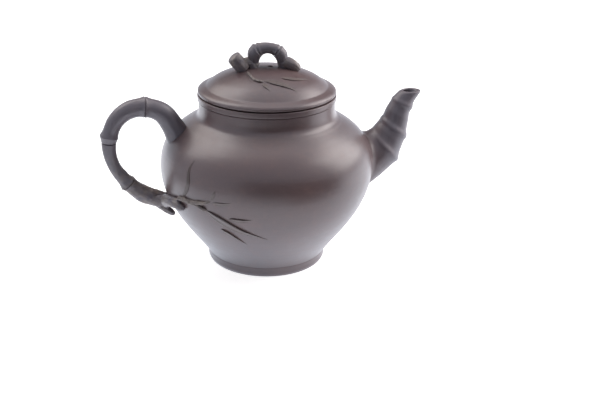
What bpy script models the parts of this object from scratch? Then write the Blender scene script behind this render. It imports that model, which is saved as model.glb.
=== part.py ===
"""Small clay teapot in the bamboo style, as the separate clay pieces it is luted together from.

Metres, +Z up. The pot stands on Z = 0. Its spout points to +X, its handle to -X, and the side
with the twigs and leaves faces -Y. The lid's pieces hang under an empty on the axis it lifts along.
"""

import math

import bmesh
import bpy
import numpy as np
from mathutils import Matrix, Vector

# The gap that is left where one piece is luted to the next
clearance = 0.0003
# How far a cutter runs past the wall that it cuts
overrun = 0.004

# Pot wall: a turned shell, wide at the belly, drawn in to a waist over the foot
belly_radius = 0.0586
belly_height = 0.0545
waist_radius = 0.0332
waist_rise = 0.0014
shoulder_radius = 0.0410
shoulder_height = 0.0812
pot_wall = 0.0032
flare_angle = 60.8
shoulder_angle = 29.4
flare_pull_share = 0.26
belly_low_pull_share = 0.42
belly_high_pull_share = 0.573
shoulder_pull_share = 0.672

# Disc and ring under the wall
base_thickness = 0.0035
foot_radius = 0.0331
foot_height = 0.0037
foot_width = 0.0055
foot_undercut = 0.0008

# Neck and the band round the mouth
neck_radius = 0.0371
neck_wall = 0.0038
neck_cove_rise = 0.0070
mouth_radius = 0.0377
mouth_rise = 0.0141
mouth_band = 0.0029
band_rounding_share = 0.25

# Lid: a disc with a spherical dome and a rolled brim, a band under its edge, and a locating ring
lid_radius = 0.0374
lid_rim_height = 0.0013
lid_wall = 0.0030
brim_height = 0.0003
dome_radius = 0.0299
dome_edge_rise = 0.0054
dome_rise = 0.0129
cove_reach_share = 0.24
cove_drop_share = 0.72
roll_reach_share = 0.87
roll_rise_share = 0.38
flange_clearance = 0.0006
flange_thickness = 0.0026
flange_depth = 0.0115
steam_hole_radius = 0.0015
steam_hole_offset = 0.0016

# Spout: a bamboo stem that swells to its root, with slanting joints and a level mouth
spout_root_height = 0.0548
spout_reach = 0.0823
spout_tip_height = 0.0928
spout_root_radius = 0.0130
spout_tip_radius = 0.0060
spout_wall = 0.0019
spout_ridge = 0.0011
spout_ridge_width = 0.0042
# The most that a ring leans from square to the stem, in degrees
spout_greatest_lean = 45
# Each row: share of the reach past the wall, share of the rise, slant of the ring in degrees,
# and share of the way from the tip's radius to the root's
spout_section_shares = (
    (0.0, 0.0, 37, 1.0),
    (0.383, 0.176, 43, 0.74),
    (0.520, 0.320, 49, 0.49),
    (0.626, 0.445, 54, 0.27),
    (0.715, 0.640, 58, 0.10),
    (0.800, 0.815, 63, -0.09),
    (1.0, 1.0, 90, 0.0),
)
spout_joints = (1, 3, 5)

# Port behind the spout, and the pierced dome that sits in it
port_radius = 0.0090
strainer_wall = 0.0016
strainer_rim = 0.0024
strainer_rise = 0.0048
strainer_set_back = 0.0005
strainer_hole_radius = 0.0008
strainer_ring_pitch = 0.0026
strainer_ring_counts = (1, 6, 12)

# Handle: a bamboo stem that leaves the shoulder thick, thins down the back and thickens again
handle_reach = 0.0853
handle_high = 0.0905
handle_low = 0.0380
handle_radius = 0.0052
handle_ridge = 0.0009
handle_ridge_width = 0.0036
# Each row: share of the reach past the belly, share of the height, share of the radius
handle_section_shares = (
    (-0.416, 0.619, 1.38),
    (-0.268, 0.786, 1.16),
    (-0.049, 0.940, 1.05),
    (0.277, 1.000, 0.96),
    (0.560, 0.985, 0.93),
    (0.800, 0.905, 0.86),
    (0.992, 0.710, 0.80),
    (0.996, 0.495, 0.67),
    (0.933, 0.389, 0.64),
    (0.700, 0.211, 0.73),
    (0.270, 0.034, 0.90),
    (0.109, 0.004, 0.83),
)
handle_joints = (3, 6, 9)

# Root at the handle's lower end: a stem into the wall and three rootlets along it
root_radius = 0.0044
# Each row: degrees round the pot, then shares of the handle's low height, of the root's radius
# for how far the middle stands off the wall, and of the root's radius for the thickness
root_main_shares = (
    (-180, 1.02, 0.70, 0.93),
    (-173, 1.05, 0.66, 0.82),
    (-168, 1.10, 0.56, 0.70),
    (-163, 1.145, 0.50, 0.60),
    (-155, 1.19, 0.50, 0.53),
    (-150.5, 1.185, 0.50, 0.45),
    (-148, 1.17, 0.48, 0.33),
)
root_low_shares = (
    (-178, 0.99, 1.40, 0.60),
    (-173, 0.955, 1.00, 0.54),
    (-168, 0.93, 0.66, 0.44),
    (-166.5, 0.925, 0.60, 0.32),
)
root_high_shares = (
    (-169, 1.12, 0.45, 0.54),
    (-163, 1.19, 0.34, 0.50),
    (-157, 1.265, 0.34, 0.44),
    (-153.5, 1.28, 0.34, 0.30),
)

# Twigs and leaves on the pot: rows of degrees round the pot and shares of the belly's height
twig_radius = 0.0012
leaf_thickness = 0.0011
leaf_edge = 0.0004
# Width of a leaf at its base, and the power that sets how near its base it is widest
leaf_base_share = 0.12
leaf_belly_share = 0.7
low_twig_shares = ((-148.4, 0.903), (-144, 0.903), (-138.6, 0.893), (-134.9, 0.868))
high_twig_shares = ((-143.4, 0.938), (-138.5, 0.953), (-133.7, 0.963), (-130.2, 0.992))
long_leaf_shares = ((-133.8, 0.853), (-119.5, 0.706), (-100.1, 0.571))
low_leaf_shares = ((-127.4, 0.664), (-121.5, 0.593), (-113.2, 0.488))
side_leaf_shares = ((-121.2, 0.809), (-114.5, 0.801), (-108.5, 0.826))
high_leaf_shares = ((-129.7, 0.950), (-124.0, 0.955), (-118.3, 0.990))
bud_leaf_shares = ((-129.9, 1.010), (-128.6, 1.045), (-127.8, 1.086))
spike_leaf_shares = ((-145.3, 0.975), (-143.9, 1.070), (-145.6, 1.240), (-144.2, 1.305))
long_leaf_width = 0.0050
low_leaf_width = 0.0032
side_leaf_width = 0.0026
high_leaf_width = 0.0023
bud_leaf_width = 0.0016
spike_leaf_width = 0.0021

# Knob: a bamboo arch over the lid, turned a little from the line of the spout
knob_turn = -11
knob_half_span = 0.0080
knob_rise = 0.0098
knob_radius = 0.0029
knob_ridge = 0.0004
knob_ridge_width = 0.0020
# Each row: shares of the half span, of the rise over the dome's top, and of the radius
knob_section_shares = (
    (-0.96, -0.21, 0.83),
    (-0.95, 0.21, 0.97),
    (-0.82, 0.77, 1.15),
    (-0.44, 0.97, 1.07),
    (0.0, 1.01, 1.00),
    (0.53, 0.94, 0.98),
    (0.93, 0.69, 1.03),
    (1.04, 0.21, 0.86),
    (1.03, -0.21, 0.79),
)
knob_joints = (2, 6)
# Each row: shares of the half span along and across the arch, of the rise, and of the radius
stump_section_shares = (
    (-1.25, -0.16, 0.02, 1.35),
    (-1.72, -0.34, 0.28, 1.42),
    (-2.12, -0.48, 0.50, 1.30),
    (-2.30, -0.54, 0.58, 1.05),
)
spur_section_shares = (
    (1.20, 0.0, 0.40, 0.92),
    (1.62, -0.04, 0.26, 0.98),
    (2.00, -0.08, 0.12, 0.90),
    (2.20, -0.09, 0.02, 0.62),
)

# Twig and leaves on the lid: rows of degrees round the lid and shares of the dome's radius
lid_twig_radius = 0.0009
lid_twig_shares = ((-147, 0.47), (-134, 0.54), (-121, 0.63), (-110.5, 0.665))
lid_long_leaf_shares = ((-106, 0.620), (-81.5, 0.745), (-68.9, 0.960))
lid_side_leaf_shares = ((-75.5, 0.560), (-56.5, 0.660), (-31.0, 0.820))
lid_bud_leaf_shares = ((-107, 0.700), (-102, 0.790), (-96.8, 0.920))
lid_long_leaf_width = 0.0042
lid_side_leaf_width = 0.0032
lid_bud_leaf_width = 0.0028

# How finely the round and curved pieces are cut
pot_facets = 48
lid_facets = 48
spout_facets = 18
strainer_facets = 20
hole_facets = 6
low_steps = 8
high_steps = 7
brim_steps = 6
dome_steps = 5
span_steps = 3
leaf_steps = 3
handle_resolution = 4
knob_resolution = 3
twig_resolution = 2
smooth_angle = math.radians(35)

# Colours of the fired clay
body_clay = (0.105, 0.084, 0.080)
stem_clay = (0.088, 0.076, 0.076)
leaf_clay = (0.120, 0.098, 0.092)
clay_roughness = 0.55

# Places that several pieces share
wall_bottom = foot_height + clearance
waist_height = wall_bottom + waist_rise
base_top = wall_bottom + base_thickness
neck_inner_radius = neck_radius - neck_wall
mouth_height = shoulder_height + mouth_rise
mouth_bottom = mouth_height - mouth_band
lid_bottom = mouth_height + clearance
lid_disc_bottom = lid_bottom + lid_rim_height + clearance
flange_radius = neck_inner_radius - flange_clearance
dome_edge_height = lid_disc_bottom + dome_edge_rise
dome_height = lid_disc_bottom + dome_rise


def bezier(controls, steps):
    """Points of the Bezier curve with these controls, both ends included."""
    share = np.linspace(0, 1, steps + 1)[:, None]
    layers = [np.array(control, float) for control in controls]
    while len(layers) > 1:
        layers = [(1 - share) * a + share * b for a, b in zip(layers, layers[1:])]
    return layers[0]


def offset(outline, distance):
    """The outline moved outwards by distance, square to itself at each point."""
    along = np.gradient(outline, axis=0)
    along /= np.linalg.norm(along, axis=1)[:, None]
    return outline + distance * np.stack([along[:, 1], -along[:, 0]], axis=1)


def flowing(rows, steps, place):
    """Rows of a smooth curve through the given rows. Their first columns are the place."""
    rows = np.array(rows, float)
    spans = np.linalg.norm(np.diff(rows[:, :place], axis=0), axis=1)
    slopes = np.gradient(rows, np.concatenate([[0], np.cumsum(spans)]), axis=0)
    made = []
    for i, span in enumerate(spans):
        for t in np.arange(steps) / steps:
            made.append(
                (1 + 2 * t) * (1 - t) ** 2 * rows[i]
                + t * (1 - t) ** 2 * span * slopes[i]
                + t**2 * (3 - 2 * t) * rows[i + 1]
                + t**2 * (t - 1) * span * slopes[i + 1]
            )
    return np.array(made + [rows[-1]])


def jointed(rows, joints, ridge, width):
    """A smooth stem through rows of two places and sizes. Its last column is the ridge at the joints."""
    stem = flowing(rows, span_steps, 2)
    along = np.linalg.norm(np.diff(stem[:, :2], axis=0), axis=1)
    along = np.concatenate([[0], np.cumsum(along)])
    places = along[np.array(joints) * span_steps]
    apart = abs(along[:, None] - places).min(axis=1)
    near = (places[:, None] + width * np.array([-1, -0.5, 0, 0.5, 1])).ravel()
    stations = np.sort(np.concatenate([along[apart > width * 1.25], near]))
    apart = abs(stations[:, None] - places).min(axis=1)
    columns = [np.interp(stations, along, column) for column in stem.T]
    return np.column_stack([*columns, ridge * np.clip(1 - apart / width, 0, 1) ** 2])


def wall_outline():
    """Outer face of the pot's wall as (radius, height) points, from the bottom up."""
    low_rise = belly_height - waist_height
    high_rise = shoulder_height - belly_height
    flare, slope = math.radians(flare_angle), math.radians(shoulder_angle)
    low_pull = low_rise * flare_pull_share
    high_pull = (belly_radius - shoulder_radius) * shoulder_pull_share
    low = bezier(
        (
            (waist_radius, waist_height),
            (waist_radius + low_pull * math.cos(flare), waist_height + low_pull * math.sin(flare)),
            (belly_radius, belly_height - low_rise * belly_low_pull_share),
            (belly_radius, belly_height),
        ),
        low_steps,
    )
    high = bezier(
        (
            (belly_radius, belly_height),
            (belly_radius, belly_height + high_rise * belly_high_pull_share),
            (
                shoulder_radius + high_pull * math.cos(slope),
                shoulder_height - high_pull * math.sin(slope),
            ),
            (shoulder_radius, shoulder_height),
        ),
        high_steps,
    )
    return np.vstack([[(waist_radius, wall_bottom)], low, high[1:]])


def lid_outline():
    """Upper face of the lid as (radius, height) points, from the middle out to the edge."""
    sag = dome_rise - dome_edge_rise
    sphere = (dome_radius**2 + sag**2) / (2 * sag)
    radii = np.linspace(0, dome_radius, dome_steps + 1)
    dome = np.stack([radii, dome_height - sphere + np.sqrt(sphere**2 - radii**2)], axis=1)
    brim_reach = lid_radius - dome_radius
    brim_bottom = lid_disc_bottom + brim_height
    brim_drop = dome_edge_height - brim_bottom
    brim = bezier(
        (
            (dome_radius, dome_edge_height),
            (
                dome_radius + brim_reach * cove_reach_share,
                dome_edge_height - brim_drop * cove_drop_share,
            ),
            (dome_radius + brim_reach * roll_reach_share, brim_bottom + brim_drop * roll_rise_share),
            (lid_radius, brim_bottom),
        ),
        brim_steps,
    )
    return np.vstack([dome, brim[1:]])


wall_points = wall_outline()
lid_points = lid_outline()


def around(degrees, radius, height):
    """The point at this angle, distance and height from the pot's axis."""
    angle = math.radians(degrees)
    return Vector((radius * math.cos(angle), radius * math.sin(angle), height))


def over_wall(point, proud):
    """The point brought level onto the pot's wall, then moved straight out from it."""
    radii, heights = wall_points[:, 0], wall_points[:, 1]
    height = min(max(point.z, heights[0]), heights[-1])
    slope = np.interp(height, heights, np.gradient(radii, heights))
    out = Vector((point.x, point.y, 0)).normalized()
    normal = (out - Vector((0, 0, slope))).normalized()
    return out * np.interp(height, heights, radii) + Vector((0, 0, height)) + normal * proud


def over_lid(point, proud):
    """The point brought straight down or up onto the lid, then moved straight out from it."""
    inside = lid_points[:-2]
    radii, heights = inside[:, 0], inside[:, 1]
    radius = min(math.hypot(point.x, point.y), radii[-1])
    slope = np.interp(radius, radii, np.gradient(heights, radii))
    out = Vector((point.x, point.y, 0)).normalized()
    normal = (Vector((0, 0, 1)) - out * slope).normalized()
    return out * radius + Vector((0, 0, np.interp(radius, radii, heights))) + normal * proud


def clear_scene():
    for thing in list(bpy.data.objects):
        bpy.data.objects.remove(thing)


def collection(name):
    made = bpy.data.collections.new(name)
    bpy.context.scene.collection.children.link(made)
    return made


clear_scene()
teapot = collection("teapot")
cutters = collection("cutters")


def empty(name, parent=None):
    made = bpy.data.objects.new(name, None)
    made.empty_display_size = foot_height
    made.parent = parent
    teapot.objects.link(made)
    return made


pot_frame = empty("pot_frame")
lid_frame = empty("lid_frame", pot_frame)


def piece(name, data, parent, colour):
    """A visible piece of fired clay with its own material."""
    material = bpy.data.materials.new(name)
    material.use_nodes = True
    shader = material.node_tree.nodes["Principled BSDF"]
    shader.inputs["Base Color"].default_value = (*colour, 1)
    shader.inputs["Roughness"].default_value = clay_roughness
    shader.inputs["Metallic"].default_value = 0
    made = bpy.data.objects.new(name, data)
    made.parent = parent
    data.materials.append(material)
    teapot.objects.link(made)
    return made


def cutter(name, data):
    """A helper solid that shapes a piece and isn't one itself."""
    made = bpy.data.objects.new(name, data)
    made.parent = pot_frame
    made.hide_render = True
    made.display_type = "WIRE"
    cutters.objects.link(made)
    return made


def combine(target, other, operation="DIFFERENCE", crossing=False):
    """Cuts the target with the other, or joins them. Crossing is for stems that may touch themselves."""
    modifier = target.modifiers.new(other.name, "BOOLEAN")
    modifier.operation = operation
    modifier.use_self = crossing
    modifier.object = other


def profile_mesh(name, outline):
    """A line through (radius, height) points in the XZ plane, closed unless it ends on the axis."""
    mesh = bpy.data.meshes.new(name)
    points = [(radius, 0, height) for radius, height in outline]
    edges = [(i, i + 1) for i in range(len(points) - 1)]
    if outline[0][0] > 0:
        edges.append((len(points) - 1, 0))
    mesh.from_pydata(points, edges, [])
    return mesh


def turn(target, facets):
    """Turns the target's profile round its own Z axis."""
    screw = target.modifiers.new("turned", "SCREW")
    screw.steps = screw.render_steps = facets
    screw.use_merge_vertices = True
    screw.merge_threshold = clearance / 10
    return target


def lofted_mesh(name, rings):
    """A closed mesh through rings of points, with a flat face over each end."""
    shape = bmesh.new()
    rows = [[shape.verts.new(point) for point in ring] for ring in rings]
    for low, high in zip(rows, rows[1:]):
        for i in range(len(low)):
            j = (i + 1) % len(low)
            shape.faces.new((low[i], low[j], high[j], high[i]))
    shape.faces.new(rows[0])
    shape.faces.new(rows[-1])
    bmesh.ops.recalc_face_normals(shape, faces=shape.faces)
    return mesh_from(name, shape)


def mesh_from(name, shape):
    mesh = bpy.data.meshes.new(name)
    shape.to_mesh(mesh)
    shape.free()
    mesh.shade_smooth()
    mesh.set_sharp_from_angle(angle=smooth_angle)
    return mesh


def cylinder_mesh(name, radius, places, length, facets):
    """One mesh with an upright cylinder of this length over each (x, y) place."""
    shape = bmesh.new()
    for x, y in places:
        bmesh.ops.create_cone(
            shape,
            cap_ends=True,
            segments=facets,
            radius1=radius,
            radius2=radius,
            depth=length,
            matrix=Matrix.Translation((x, y, 0)),
        )
    return mesh_from(name, shape)


def tube_curve(name, points, radii, resolution):
    """A round tube through the points, as thick at each as its radius, with flat ends."""
    curve = bpy.data.curves.new(name, "CURVE")
    curve.dimensions = "3D"
    curve.use_fill_caps = True
    curve.bevel_depth = max(radii)
    curve.bevel_resolution = resolution
    spline = curve.splines.new("POLY")
    spline.points.add(len(points) - 1)
    for spot, point, radius in zip(spline.points, points, radii):
        spot.co = (*point, 1)
        spot.radius = radius / curve.bevel_depth
    return curve


def tube_mesh(name, points, radii, resolution):
    """The same tube as a closed mesh, because a curve takes no Boolean."""
    curve = tube_curve(name, points, radii, resolution)
    holder = bpy.data.objects.new(name + "_curve", curve)
    bpy.context.scene.collection.objects.link(holder)
    graph = bpy.context.evaluated_depsgraph_get()
    mesh = bpy.data.meshes.new_from_object(holder.evaluated_get(graph))
    bpy.data.objects.remove(holder)
    shape = bmesh.new()
    shape.from_mesh(mesh)
    bmesh.ops.remove_doubles(shape, verts=shape.verts, dist=clearance / 10)
    bmesh.ops.recalc_face_normals(shape, faces=shape.faces)
    return mesh_from(name, shape)


def make_pot_envelope():
    """The pot's outer form grown by the clearance: what is luted to the wall is cut by it."""
    grown = offset(wall_points, clearance)[::-1]
    outline = [(0, grown[0][1]), *grown, (0, grown[-1][1])]
    return turn(cutter("pot_envelope", profile_mesh("pot_envelope", outline)), pot_facets)


def make_pot_body():
    """The wall: one turned shell with a flat shoulder for the neck and a port behind the spout."""
    inside = offset(wall_points, -pot_wall)[::2]
    under_shoulder = shoulder_height - pot_wall
    inside = inside[(inside[:, 1] > base_top) & (inside[:, 1] < under_shoulder)]
    seat_radius = waist_radius - pot_wall
    outline = [
        *wall_points[::-1],
        (seat_radius, wall_bottom),
        (seat_radius, base_top),
        *inside,
        (neck_inner_radius, under_shoulder),
        (neck_inner_radius, shoulder_height),
    ]
    body = turn(piece("pot_body", profile_mesh("pot_body", outline), pot_frame, body_clay), pot_facets)
    length = 2 * (pot_wall + overrun)
    port = cutter("port", cylinder_mesh("port", port_radius, [(0, 0)], length, strainer_facets))
    port.location = (belly_radius, 0, spout_root_height)
    port.rotation_euler.y = math.radians(90)
    combine(body, port)


def make_base_disc():
    """The disc that closes the bottom inside the wall and rests on the foot ring's inner edge."""
    radius = waist_radius - pot_wall - clearance
    outline = [(0, base_top), (radius, base_top), (radius, wall_bottom), (0, wall_bottom)]
    turn(piece("base_disc", profile_mesh("base_disc", outline), pot_frame, body_clay), pot_facets)


def make_foot_ring():
    """The ring the pot stands on, undercut towards its flat underside."""
    under = bezier(
        (
            (foot_radius, foot_height / 2),
            (foot_radius, foot_height / 4),
            (foot_radius - foot_undercut, 0),
        ),
        2,
    )
    inner_radius = foot_radius - foot_width
    outline = [(foot_radius, foot_height), *under, (inner_radius, 0), (inner_radius, foot_height)]
    turn(piece("foot_ring", profile_mesh("foot_ring", outline), pot_frame, body_clay), pot_facets)


def make_neck_ring():
    """The neck: its outer face coves from the shoulder's edge up into a short upright collar."""
    bottom, top = shoulder_height + clearance, mouth_bottom - clearance
    cove_top = bottom + neck_cove_rise
    cove = bezier(
        (
            (neck_radius, cove_top),
            (neck_radius, bottom + neck_cove_rise / 3),
            ((2 * neck_radius + shoulder_radius) / 3, bottom + neck_cove_rise / 6),
            (shoulder_radius, bottom),
        ),
        4,
    )
    outline = [(neck_radius, top), *cove, (neck_inner_radius, bottom), (neck_inner_radius, top)]
    turn(piece("neck_ring", profile_mesh("neck_ring", outline), pot_frame, body_clay), pot_facets)


def band_outline(radius, inner_radius, bottom, top):
    """Section of a flat band whose two outer corners are rounded."""
    rounding = (top - bottom) * band_rounding_share
    turns = np.radians([90, 45, 0])
    curl = rounding * np.stack([np.cos(turns), np.sin(turns)], axis=1)
    high = curl + (radius - rounding, top - rounding)
    low = curl[::-1] * (1, -1) + (radius - rounding, bottom + rounding)
    return [*high, *low, (inner_radius, bottom), (inner_radius, top)]


def make_mouth_ring():
    """The band round the mouth that the lid rests on."""
    outline = band_outline(mouth_radius, neck_inner_radius, mouth_bottom, mouth_height)
    turn(piece("mouth_ring", profile_mesh("mouth_ring", outline), pot_frame, body_clay), pot_facets)


def spout_sections(thinner):
    """Rows of reach, height, ring slant, radius and ridge along the spout, thinner by this much."""
    reach = spout_reach - belly_radius
    rise = spout_tip_height - spout_root_height
    swell = spout_root_radius - spout_tip_radius
    rows = [
        (belly_radius + reach * along, spout_root_height + rise * up, slant, spout_tip_radius + swell * girth)
        for along, up, slant, girth in spout_section_shares
    ]
    ridge = 0 if thinner else spout_ridge
    sections = jointed(rows, spout_joints, ridge, spout_ridge_width)
    sections[:, 3] -= thinner
    return sections


def spout_rings(thinner, past_tip):
    """Rings along the spout, each in its own slanting plane, with the ridges fading towards the top."""
    sections = spout_sections(thinner)
    angle = math.radians(sections[0, 2])
    into_pot = np.array([-math.cos(angle), -math.sin(angle), 0, 0, 0]) * spout_root_radius
    above_tip = np.array([0, past_tip, 0, 0, 0])
    sections = np.vstack([sections[0] + into_pot, sections, sections[-1] + above_tip])
    if not past_tip:
        sections = sections[:-1]
    heading = np.gradient(sections[:, :2], axis=0)
    rings = []
    for (x, z, slant, radius, ridge), (ahead, up) in zip(sections, heading):
        tilt = math.radians(slant)
        flatness = max(math.cos(math.atan2(up, ahead) - tilt), math.cos(math.radians(spout_greatest_lean)))
        ring = []
        for turn_share in np.arange(spout_facets) / spout_facets:
            angle = math.tau * turn_share
            reach = radius + ridge * (1 - math.cos(angle)) / 2
            side = reach * math.cos(angle)
            across = reach * flatness * math.sin(angle)
            ring.append((x - side * math.sin(tilt), across, z + side * math.cos(tilt)))
        rings.append(ring)
    return rings


def make_spout(envelope):
    """The spout: a slanting-jointed loft, bored right through and fitted to the wall."""
    mesh = lofted_mesh("spout", spout_rings(0, 0))
    spout = piece("spout", mesh, pot_frame, stem_clay)
    bore = cutter("spout_bore", lofted_mesh("spout_bore", spout_rings(spout_wall, overrun)))
    combine(spout, bore, crossing=True)
    combine(spout, envelope, crossing=True)
    return spout


def make_spout_strainer():
    """The pierced dome in the port, which keeps the leaves out of the spout."""
    outer_radius = port_radius - clearance
    quarter = np.radians(np.linspace(0, 90, 4))
    unit = np.stack([np.cos(quarter), np.sin(quarter)], axis=1)
    outer = unit * (outer_radius, strainer_rise) + (0, strainer_rim)
    inner = unit * (outer_radius - strainer_wall, strainer_rise - strainer_wall) + (0, strainer_rim)
    outer[-1, 0] = inner[-1, 0] = 0
    outline = [*outer[::-1], (outer_radius, 0), (outer_radius - strainer_wall, 0), *inner]
    strainer = piece("spout_strainer", profile_mesh("spout_strainer", outline), pot_frame, body_clay)
    strainer.location = (belly_radius - strainer_set_back, 0, spout_root_height)
    strainer.rotation_euler.y = math.radians(-90)
    turn(strainer, strainer_facets)
    places = []
    for ring, count in enumerate(strainer_ring_counts):
        for spot in range(count):
            angle = math.tau * spot / count
            reach = ring * strainer_ring_pitch
            places.append((reach * math.cos(angle), reach * math.sin(angle)))
    length = 2 * (strainer_rim + strainer_rise + overrun)
    mesh = cylinder_mesh("strainer_holes", strainer_hole_radius, places, length, hole_facets)
    holes = cutter("strainer_holes", mesh)
    holes.location = strainer.location
    holes.rotation_euler = strainer.rotation_euler
    combine(strainer, holes)


def handle_stem():
    """Points and radii along the handle, from inside the shoulder to its lower end."""
    rows = [
        (
            -belly_radius - (handle_reach - belly_radius) * out,
            handle_low + (handle_high - handle_low) * up,
            handle_radius * girth,
        )
        for out, up, girth in handle_section_shares
    ]
    stem = jointed(rows, handle_joints, handle_ridge, handle_ridge_width)
    return [Vector((x, 0, z)) for x, z in stem[:, :2]], stem[:, 2] + stem[:, 3]


def make_handle(envelope):
    """The handle: a jointed stem, fitted to the shoulder above and ending in the root below."""
    points, radii = handle_stem()
    handle = piece("handle", tube_mesh("handle", points, radii, handle_resolution), pot_frame, stem_clay)
    combine(handle, envelope)
    return handle


def root_route(shares):
    """Points and radii of a rootlet that runs along the wall."""
    rows = []
    for degrees, height, proud, girth in shares:
        rough = around(degrees, belly_radius, handle_low * height)
        rows.append((*over_wall(rough, root_radius * proud), root_radius * girth))
    rows = flowing(rows, span_steps, 3)
    return rows[:, :3], rows[:, 3]


def make_handle_root(envelope):
    """The root: a stem from the handle's end into the wall, forked into three rootlets."""
    before, end = handle_stem()[0][-2:]
    heading = (end - before).normalized()
    ends = [end - heading * root_radius, end + heading * 3 * root_radius]
    mesh = tube_mesh("handle_root", ends, [root_radius, root_radius], knob_resolution)
    root = piece("handle_root", mesh, pot_frame, stem_clay)
    for name, shares in (
        ("root_main", root_main_shares),
        ("root_low", root_low_shares),
        ("root_high", root_high_shares),
    ):
        rootlet = cutter(name, tube_mesh(name, *root_route(shares), knob_resolution))
        combine(root, rootlet, "UNION", crossing=True)
    combine(root, envelope, crossing=True)
    shape = bmesh.new()
    bmesh.ops.create_cube(shape, size=4 * root_radius)
    block = cutter("handle_side", mesh_from("handle_side", shape))
    block.rotation_euler = heading.to_track_quat("Z", "Y").to_euler()
    block.location = end + heading * (clearance - 2 * root_radius)
    combine(root, block, crossing=True)


def make_twig(name, route, seat, radius, parent):
    """A thin round twig that lies on the surface that seat gives."""
    path = flowing([tuple(point) for point in route], span_steps, 3)
    points = [seat(Vector(point), radius + clearance) for point in path]
    radii = np.linspace(radius, radius * 2 / 3, len(points))
    curve = tube_curve(name, points, radii, twig_resolution)
    piece(name, curve, parent, stem_clay)


def leaf_section(middle, heading, seat, half_width, crown):
    """One section across a leaf: a flat underside and a crowned top, both following the surface."""
    normal = (seat(middle, clearance) - seat(middle, 0)).normalized()
    side = normal.cross(heading).normalized() * half_width
    shares = (-1, -0.5, 0, 0.5, 1)
    under = [seat(middle + side * share, clearance) for share in shares]
    top = [
        seat(middle + side * share, clearance + leaf_edge + crown * (1 - share**2))
        for share in reversed(shares)
    ]
    return under + top


def make_leaf(name, route, seat, width, parent):
    """A pressed leaf: widest a third of the way along, pointed at its tip, bent to the surface."""
    path = [Vector(point) for point in flowing([tuple(point) for point in route], leaf_steps, 3)]
    middles = [seat(point, 0) for point in path]
    last = len(middles) - 1
    rings = []
    for i, middle in enumerate(middles):
        heading = middles[min(i + 1, last)] - middles[max(i - 1, 0)]
        share = i / last
        swell = leaf_base_share + (1 - leaf_base_share) * math.sin(math.pi * share**leaf_belly_share)
        swell *= 1 - share**3 / 2
        crown = (leaf_thickness - leaf_edge) * swell
        rings.append(leaf_section(middle, heading, seat, width / 2 * swell, crown))
    piece(name, lofted_mesh(name, rings), parent, leaf_clay)


def pot_route(shares):
    return [around(degrees, belly_radius, belly_height * height) for degrees, height in shares]


def lid_route(shares):
    return [around(degrees, dome_radius * reach, dome_height) for degrees, reach in shares]


def make_pot_sprig():
    """Twigs from the root and the leaves on them."""
    make_twig("twig_low", pot_route(low_twig_shares), over_wall, twig_radius, pot_frame)
    make_twig("twig_high", pot_route(high_twig_shares), over_wall, twig_radius * 0.75, pot_frame)
    for name, shares, width in (
        ("leaf_long", long_leaf_shares, long_leaf_width),
        ("leaf_low", low_leaf_shares, low_leaf_width),
        ("leaf_side", side_leaf_shares, side_leaf_width),
        ("leaf_high", high_leaf_shares, high_leaf_width),
        ("leaf_bud", bud_leaf_shares, bud_leaf_width),
        ("leaf_spike", spike_leaf_shares, spike_leaf_width),
    ):
        make_leaf(name, pot_route(shares), over_wall, width, pot_frame)


def make_lid_envelope():
    """The lid's upper form grown by the clearance: the knob's pieces are cut by it."""
    grown = offset(lid_points[::-1], clearance)[::-1]
    grown[0, 0] = 0
    outline = [*grown, (0, grown[-1][1])]
    return turn(cutter("lid_envelope", profile_mesh("lid_envelope", outline)), lid_facets)


def make_lid_dome():
    """The lid's disc: a domed shell with a rolled brim, a flat seat below and a steam hole."""
    edge = (lid_radius - brim_height, lid_disc_bottom)
    seat_radius = flange_radius - flange_thickness - clearance
    hollow = offset(lid_points[::-1], -lid_wall)[::-2]
    hollow[0, 0] = 0
    hollow = hollow[(hollow[:, 0] < seat_radius) & (hollow[:, 1] > lid_disc_bottom)]
    outline = [*lid_points, edge, (seat_radius, lid_disc_bottom), *hollow[::-1]]
    dome = turn(piece("lid_dome", profile_mesh("lid_dome", outline), lid_frame, body_clay), lid_facets)
    mesh = cylinder_mesh("steam_hole", steam_hole_radius, [(0, 0)], 2 * dome_rise, strainer_facets // 2)
    hole = cutter("steam_hole", mesh)
    hole.location = around(knob_turn, steam_hole_offset, dome_height)
    combine(dome, hole)


def make_lid_rim():
    """The band under the disc's edge, which rests on the mouth."""
    inner_radius = flange_radius + clearance
    outline = band_outline(lid_radius, inner_radius, lid_bottom, lid_bottom + lid_rim_height)
    turn(piece("lid_rim", profile_mesh("lid_rim", outline), lid_frame, body_clay), lid_facets)


def make_lid_flange():
    """The locating ring that hangs from the disc into the neck, a little narrower at its lower edge."""
    top = lid_disc_bottom - clearance
    bottom = lid_disc_bottom - flange_depth
    inner_radius = flange_radius - flange_thickness
    taper = flange_thickness / 4
    outline = [
        (flange_radius, top),
        (flange_radius, bottom + 2 * taper),
        (flange_radius - taper, bottom),
        (inner_radius, bottom),
        (inner_radius, top),
    ]
    turn(piece("lid_flange", profile_mesh("lid_flange", outline), lid_frame, body_clay), lid_facets)


def knob_point(along, across, up):
    """The point these shares of the knob's size from the middle of the dome's top."""
    flat = Vector((knob_half_span * along, knob_half_span * across, 0))
    flat.rotate(Matrix.Rotation(math.radians(knob_turn), 3, "Z"))
    return flat + Vector((0, 0, dome_height + knob_rise * up))


def knob_stem(thicker):
    rows = [
        (knob_half_span * along, knob_rise * up, knob_radius * girth)
        for along, up, girth in knob_section_shares
    ]
    stem = jointed(rows, knob_joints, knob_ridge, knob_ridge_width)
    points = [knob_point(along / knob_half_span, 0, up / knob_rise) for along, up in stem[:, :2]]
    return points, stem[:, 2] + stem[:, 3] + thicker, knob_resolution


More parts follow.
